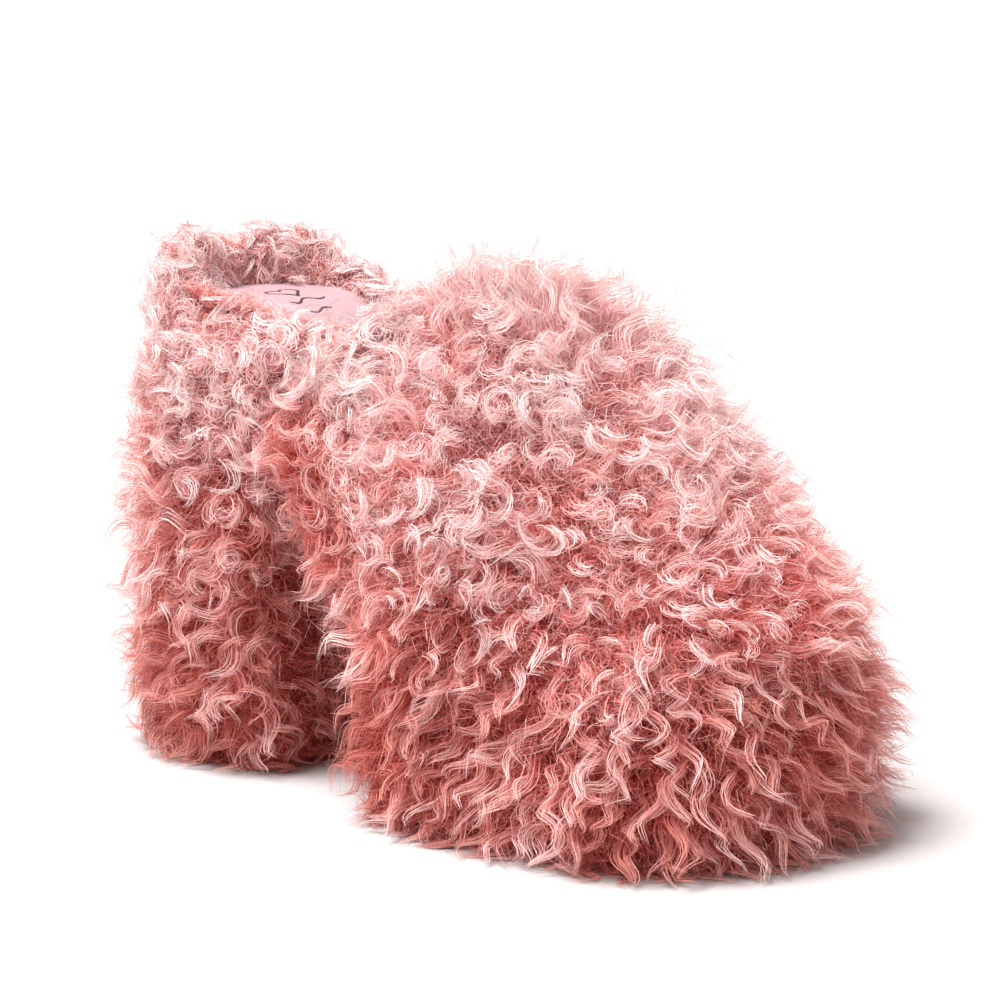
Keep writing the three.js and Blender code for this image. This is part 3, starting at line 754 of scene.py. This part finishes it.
def vamp_trim(place, up, reach):
    """The vamp's fur is long over the ball, and short at the throat, nose and back corner."""
    x = place[:, 0]
    top = smooth((up[:, 2] + 0.2) / 0.5)
    more = 8.0 * hump(x, 148, 38) - 9.5 * (1 - smooth((x - 106) / 24))
    nose = 11.0 * hump(x, 207, 36) * hump(place[:, 2], 80, 48)
    foot = 7.0 * (1 - smooth((x - 62) / 30)) * smooth((place[:, 2] - 100) / 25)
    return reach + more * top - nose - foot


def heel_trim(place, up, reach):
    """The heel's fur is longer between the ground and the seat."""
    z = place[:, 2]
    return reach + 5.2 * smooth((z - 12) / 20) * (1 - smooth((z - 108) / 20))


def platform_trim(place, up, reach):
    """The platform's fur is long at the toe and short at its back."""
    x = place[:, 0]
    return reach + 6.5 * smooth((x - 190) / 24) - 11.0 * (1 - smooth((x - 92) / 32))


VAMP_STYLE = {**LONG, "seed": 10, "trim": vamp_trim}
HEEL_STYLE = {**LONG, "seed": 20, "toe": 0, "down": 0.7, "trim": heel_trim}
# Painted shade: the heel's fur a little deeper.
HEEL_STYLE.update(lift=-0.05, curl=0.85)
PLATFORM_STYLE = {**LONG, "seed": 30, "toe": 0, "trim": platform_trim, "curl": 0.2}
COLLAR_STYLE = {**LONG, "seed": 40, "toe": 0, "down": 0.3, "extra": 0.5, "lay": 9.0}
# Painted light: the collar's fur paler, as it is lit from above.
COLLAR_STYLE.update(trim=collar_trim, lift=0.1)
ARCH_STYLE = {**LONG, "seed": 50, "extra": 3.0, "lay": 6.0, "amp": 1.9, "waves": 1.5}
ARCH_STYLE.update(strands=26, loose=20)
coats = {
    "vamp_fur": coat("vamp_fur", lettered("vamp_fur", 8), VAMP_STYLE, throat_locks(50, 8)),
    "heel_wrap_fur": coat("heel_wrap_fur", lettered("heel_fur", 5), HEEL_STYLE),
    "platform_wrap_fur": coat("platform_wrap_fur", lettered("platform_fur", 5), PLATFORM_STYLE),
    "collar_fur": coat(
        "collar_fur", lettered("collar_fur", 5), COLLAR_STYLE, seat_rim_locks(230, 9)
    ),
    "arch_fur": coat("arch_fur", ["arch_fur_lock"], ARCH_STYLE),
}

# ---- fur backings ---------------------------------------------------------
# Each fur solid's backing and its thickness in millimetres, what it is stretched over, and
# the width, length and area that its panel is cut to, in metres.
# A backing's dark colour is painted shade deep in the fur.
PANELS = {
    "vamp_fur": ("vamp_hide_painted_shade", 2.4, "toe_puff", (0.17, 0.30), 0.0300),
    "heel_wrap_fur": ("heel_hide_painted_shade", 2.4, "heel_block", (0.112, 0.19), 0.0186),
    "platform_wrap_fur": ("platform_hide_painted_shade", 2.4, "platform_block", (0.065, 0.37), 0.0199),
    "collar_fur": ("collar_hide_painted_shade", 3.0, "insole_board", (0.07, 0.17), 0.0086),
    "arch_fur": ("arch_hide_painted_shade", 2.4, "insole_board", (0.06, 0.11), 0.0060),
}
for node, (name, depth, carrier, flat, area) in PANELS.items():
    hide = made(tidy_mesh(hide_piece(node, name, depth)), node)

# ---- finishes -------------------------------------------------------------
# Each look's name, two colours, noise scale, bump, roughness and finer grain.
LOOKS = {
    "sock": grainy("sock_leather", [(0.47, 0.31, 0.34), (0.52, 0.35, 0.38)], 60, 0.35, 0.5, 900),
    "lining": grainy("lining_knit", [(0.80, 0.42, 0.42), (0.86, 0.50, 0.50)], 120, 0.4, 0.85),
    "padding": grainy("foam_pad", [(0.84, 0.62, 0.58), (0.90, 0.70, 0.66)], 200, 0.4, 0.9),
    "board": grainy("fibre_board", [(0.42, 0.30, 0.20), (0.55, 0.41, 0.28)], 150, 0.5, 0.8),
    "rubber": grainy("brown_rubber", [(0.055, 0.035, 0.03), (0.085, 0.055, 0.045)], 90, 0.4, 0.6),
    "eva": grainy("platform_foam", [(0.66, 0.34, 0.32), (0.74, 0.42, 0.39)], 220, 0.5, 0.8),
    "plastic": grainy("heel_plastic", [(0.80, 0.76, 0.70), (0.86, 0.83, 0.78)], 50, 0.15, 0.45),
    "steel": grainy("steel", [(0.45, 0.45, 0.46), (0.58, 0.58, 0.6)], 400, 0.1, 0.35, Metallic=1.0),
    "thread": grainy("sewing_thread", [(0.84, 0.52, 0.52), (0.92, 0.64, 0.63)], 900, 0.5, 0.7),
    "ink": grainy("brown_print", [(0.05, 0.02, 0.018), (0.09, 0.035, 0.03)], 500, 0.2, 0.5),
}
NODE_LOOK = {
    "toe_puff": "board",
    "insole_board": "board",
    "outsole_front": "rubber",
    "heel_top_piece": "rubber",
    "platform_block": "eva",
    "heel_block": "plastic",
}
for name, obj in NODES.items():
    obj.data.materials.clear()
    obj.data.materials.append(LOOKS[NODE_LOOK.get(name, "steel")])


# ---- insole, lining and padding -------------------------------------------
SOCK_DIMPLE = 0.12  # depth of the sock's unevenness


def dimples(x, y, depth):
    """Soft unevenness of a pressed layer."""
    flat = np.stack([x, y, 0 * x], -1).reshape(-1, 3)
    return depth * field(flat, 26, 71).reshape(x.shape)


def roll_off(inside, radius):
    """How far a surface has sunk that near to its rounded edge."""
    t = 1 - np.clip(inside / radius, 0, 1)
    return radius * (1 - np.sqrt(1 - np.minimum(t, 0.999) ** 2))


def slab(name, look, low, high, edge, soft, inset=0.9, across=34, stations=190):
    """A layer of the insole with rounded edges and a softly uneven top."""
    turn = (1 - np.cos(np.linspace(0, np.pi, stations))) / 2
    x = inset + (SHOE_LENGTH - 2 * inset) * turn
    half = last_width(x, -inset)
    share = np.sin(np.linspace(-np.pi / 2, np.pi / 2, across))
    X, Y = np.repeat(x[:, None], across, 1), half[:, None] * share
    ends = np.minimum(x - inset, SHOE_LENGTH - inset - x)
    inside = np.minimum(half[:, None] * (1 - np.abs(share)), ends[:, None] * 1.5)
    base = board_z(X)
    top = base + high - roll_off(inside, edge) + np.minimum(dimples(X, Y, soft), 0)
    under = base + low + 0.3 * roll_off(inside, edge)
    ring = np.concatenate(
        [np.stack([X, Y, top], -1), np.stack([X, Y, under], -1)[:, ::-1]], axis=1
    )
    faces = grid_faces(stations, 2 * across, closed_columns=True)
    return tidy_mesh(add_mesh(name, ring.reshape(-1, 3), faces, LOOKS[look]))


STOP_ROUNDS = 30  # repeats that settle where a leaning layer ends


def shell(name, look, inner, outer, stop=None, edge=0.0, stations=90, turns=72):
    """A layer of the vamp from the seat of the binding to the toe, or to a stop."""
    angle = np.linspace(0, np.pi, turns)[None]
    first = THROAT_X + BINDING_SEAT
    turn = (1 - np.cos(np.linspace(0, np.pi, stations)[:, None])) / 2
    mid = (inner + outer) / 2
    layers = []
    for grow in (outer, inner):
        end = SHOE_LENGTH + grow
        last = np.full(angle.shape, end)
        rise = np.sin(angle).clip(0) ** (2 / ARCH_POWER)
        for _ in range(STOP_ROUNDS if stop else 0):
            t = (last - THROAT_X) / (end - THROAT_X)
            last = stop - THROAT_LEAN * (1 - t) ** LEAN_POWER * rise
        x = first + (last - first) * turn
        inside = np.minimum(x - first, (last - x) if stop else 99)
        thin = 1 - 0.5 * (roll_off(inside, edge) / edge if edge else 0)
        layers.append(vamp_point(x, angle + 0 * x, mid + (grow - mid) * thin))
    ring = np.concatenate([layers[0], layers[1][:, ::-1]], axis=1)
    quads = [grid_faces(stations, 2 * turns, closed_columns=True)]
    j = np.arange(turns - 1)
    for row in (0, stations - 1)[: 2 if stop else 1]:
        at = row * 2 * turns
        opposite = at + 2 * turns - 1 - j
        quads.append(np.stack([at + j, at + j + 1, opposite - 1, opposite], -1))
    return tidy_mesh(add_mesh(name, ring.reshape(-1, 3), np.concatenate(quads), LOOKS[look]))


def tube(line, radius, sides):
    """Points and faces of a tube along a line of points, drawn to a point at both ends."""
    line = np.concatenate([line[:1], line, line[-1:]])
    tangent = unit(np.gradient(line, axis=0))
    across = unit(np.cross(tangent, [0.1, 0.2, 1.0]))
    over = np.cross(tangent, across)
    radius = np.concatenate([[0], radius * np.ones(len(line) - 2), [0]])
    turn = np.linspace(0, 2 * np.pi, sides, endpoint=False)[:, None]
    ring = across[:, None] * np.cos(turn) + over[:, None] * np.sin(turn)
    points = line[:, None] + ring * radius[:, None, None]
    return points.reshape(-1, 3), grid_faces(len(line), sides, closed_columns=True)


def along_line(line, step):
    """Points that far apart along a line of points."""
    walk = np.concatenate([[0], np.cumsum(np.linalg.norm(np.diff(line, axis=0), axis=1))])
    at = np.arange(0, walk[-1], step)
    return np.stack([np.interp(at, walk, line[:, i]) for i in range(3)], 1)


def stitches(name, line, length=2.2, pitch=3.0, radius=0.22):
    """A row of separate stitches along a line of points."""
    step = 0.2
    fine = along_line(line, step)
    count, every = round(length / step), round(pitch / step)
    swell = np.sin(np.linspace(0.05, np.pi - 0.05, count)) ** 0.4
    parts = []
    for start in range(2, len(fine) - count, every):
        stretch = fine[start : start + count]
        parts.append(tube(stretch, radius * swell, sides=6))
    return tidy_mesh(add_mesh(name, *merged(parts), LOOKS["thread"]), 0.004)


sock = slab("sock_sheet", "sock", SOCK_BASE, SOCK_TOP, edge=0.7, soft=SOCK_DIMPLE)
made(sock, "sock_lining")
foam = slab("insole_cushion", "padding", FOAM_BASE, FOAM_TOP, edge=1.6, soft=0.3)
made(foam, "insole_foam")
lining = shell("vamp_lining_sheet", "lining", 0.0, LINING)
made(lining, "vamp_lining")
under_fur = LINING + CLEAR
padding = shell(
    "vamp_padding_layer",
    "padding",
    under_fur,
    under_fur + PADDING,
    stop=PUFF_X - CLEAR,
    edge=5.0,
)
made(padding, "vamp_padding")


def throat_line(offset):
    """The line of the throat's binding, moved that far along the vamp."""
    angle = np.linspace(0.02, 0.98, 90) * np.pi
    grow = (LINING + PADDING + CLEAR) / 2
    edge = vamp_point(np.full(90, THROAT_X), angle, grow)
    seat = vamp_point(np.full(90, THROAT_X + BINDING_SEAT), angle, grow)
    return edge + (seat - edge) * (0.5 + offset / BINDING_SEAT)


STITCH_OFFSET = 2.6  # how far towards the toe from the piping's middle its stitches run
piping = tube(along_line(throat_line(0), 0.8), BINDING_R, 14)
binding = tidy_mesh(add_mesh("throat_piping", *piping, LOOKS["lining"]))
made(binding, "topline_binding")
made(stitches("throat_stitches", throat_line(STITCH_OFFSET)), "topline_binding")


# ---- the motif on the sock -------------------------------------------------
INK_OVER, INK_UNDER = 0.08, -0.1  # the print's faces, from the sock's surface


def stroke(points, width):
    """A flat printed stroke on the sock along points given as x and y."""
    line = along_line(np.column_stack([points, 0 * points[:, 0]]), 0.35)[:, :2]
    tangent = unit(np.gradient(line, axis=0))
    across = np.stack([-tangent[:, 1], tangent[:, 0]], 1)
    swell = width / 2 * (0.55 + 0.45 * np.sin(np.linspace(0.2, np.pi - 0.2, len(line))))[:, None]
    ring = [line - across * swell, line + across * swell]
    rows = []
    corners = ((0, INK_OVER), (1, INK_OVER), (1, INK_UNDER), (0, INK_UNDER))
    for xy, lift in ((ring[i], lift) for i, lift in corners):
        dip = np.minimum(dimples(xy[:, 0], xy[:, 1], SOCK_DIMPLE), 0)
        z = board_z(xy[:, 0]) + SOCK_TOP + dip
        rows.append(np.column_stack([xy, z + lift]))
    points = np.stack(rows, 1).reshape(-1, 3)
    faces = [grid_faces(len(line), 4, closed_columns=True), [[3, 2, 1, 0]]]
    last = 4 * (len(line) - 1)
    faces.append([[last, last + 1, last + 2, last + 3]])
    return points, np.concatenate(faces)


def heart(cx, cy, size):
    """The outline of a heart with its top towards the heel."""
    t = np.linspace(0.06, 2 * np.pi - 0.06, 60)
    across = 16 * np.sin(t) ** 3
    up = 13 * np.cos(t) - 5 * np.cos(2 * t) - 2 * np.cos(3 * t) - np.cos(4 * t)
    return np.stack([cx - up * size / 32, cy + across * size / 32], 1)


def wave(cx, cy, length, height, beats):
    """A wavy line across the seat that dies down along its length."""
    t = np.linspace(0, 1, 60)
    sway = height * np.sin(2 * np.pi * beats * t) * (1 - 0.6 * t)
    return np.stack([cx + sway, cy + length * t], 1)


motif = merged(
    [
        stroke(heart(27, 5, 12), 1.1),
        stroke(wave(37, -3, 16, 1.8, 1.5), 0.9),
        stroke(wave(43, 0, 10, 1.2, 1.0), 0.8),
    ]
)
made(tidy_mesh(add_mesh("sock_motif", *motif, LOOKS["ink"]), 0.005), "sock_lining")

# ---- floor, light and camera ----------------------------------------------
FLOOR_COLOUR = (0.56, 0.55, 0.55, 1)
SKY_COLOUR, SKY_STRENGTH = (1.0, 0.87, 0.85, 1), 0.56
SUN_STRENGTH, SUN_SPREAD = 5.7, np.radians(30)
AZIMUTH, ELEVATION, DISTANCE = np.radians(42), np.radians(10.8), 1.37
TARGET = np.array([0.0, 0.0, 0.08])  # what the camera stands round
AIM_RIGHT, AIM_UP = 0.0061, 0.0103  # how far from the target it aims
LENS, SENSOR = 161, 36

paint, _, _, shader = new_material("floor")
shader.inputs["Base Color"].default_value = FLOOR_COLOUR
shader.inputs["Roughness"].default_value = 0.9
bpy.ops.mesh.primitive_plane_add(size=9)
floor = bpy.context.object
floor.name = "floor"
floor.data.materials.append(paint)

world = bpy.data.worlds.new("studio")
world.use_nodes = True
world.node_tree.nodes["Background"].inputs["Color"].default_value = SKY_COLOUR
world.node_tree.nodes["Background"].inputs["Strength"].default_value = SKY_STRENGTH
bpy.context.scene.world = world
bpy.context.scene.view_settings.view_transform = "Standard"

RIGHT = np.array([np.cos(AZIMUTH), np.sin(AZIMUTH), 0])
LEVEL_BACK = np.array([np.sin(AZIMUTH), -np.cos(AZIMUTH)]) * np.cos(ELEVATION)
BACK = np.array([*LEVEL_BACK, np.sin(ELEVATION)])
UP = np.cross(BACK, RIGHT)
AIM = TARGET + AIM_RIGHT * RIGHT + AIM_UP * UP
camera = bpy.data.objects.new("camera", bpy.data.cameras.new("camera"))
camera.data.lens = LENS
camera.data.sensor_width = SENSOR
camera.data.clip_start, camera.data.clip_end = 0.05, 50
camera.location = Vector(TARGET + BACK * DISTANCE)
camera.rotation_mode = "QUATERNION"
camera.rotation_quaternion = (Vector(AIM) - camera.location).to_track_quat("-Z", "Y")
bpy.context.scene.collection.objects.link(camera)
bpy.context.scene.camera = camera

# The key light: high, from the camera's left and a little in front of the shoe.
sun = bpy.data.lights.new("key", "SUN")
sun.energy = SUN_STRENGTH
sun.angle = SUN_SPREAD
key = bpy.data.objects.new("key", sun)
key.rotation_mode = "QUATERNION"
KEY_FROM = -0.45 * RIGHT + 1.35 * np.array([0, 0, 1.0]) + 0.22 * BACK
key.rotation_quaternion = (-Vector(KEY_FROM)).to_track_quat("-Z", "Y")
bpy.context.scene.collection.objects.link(key)
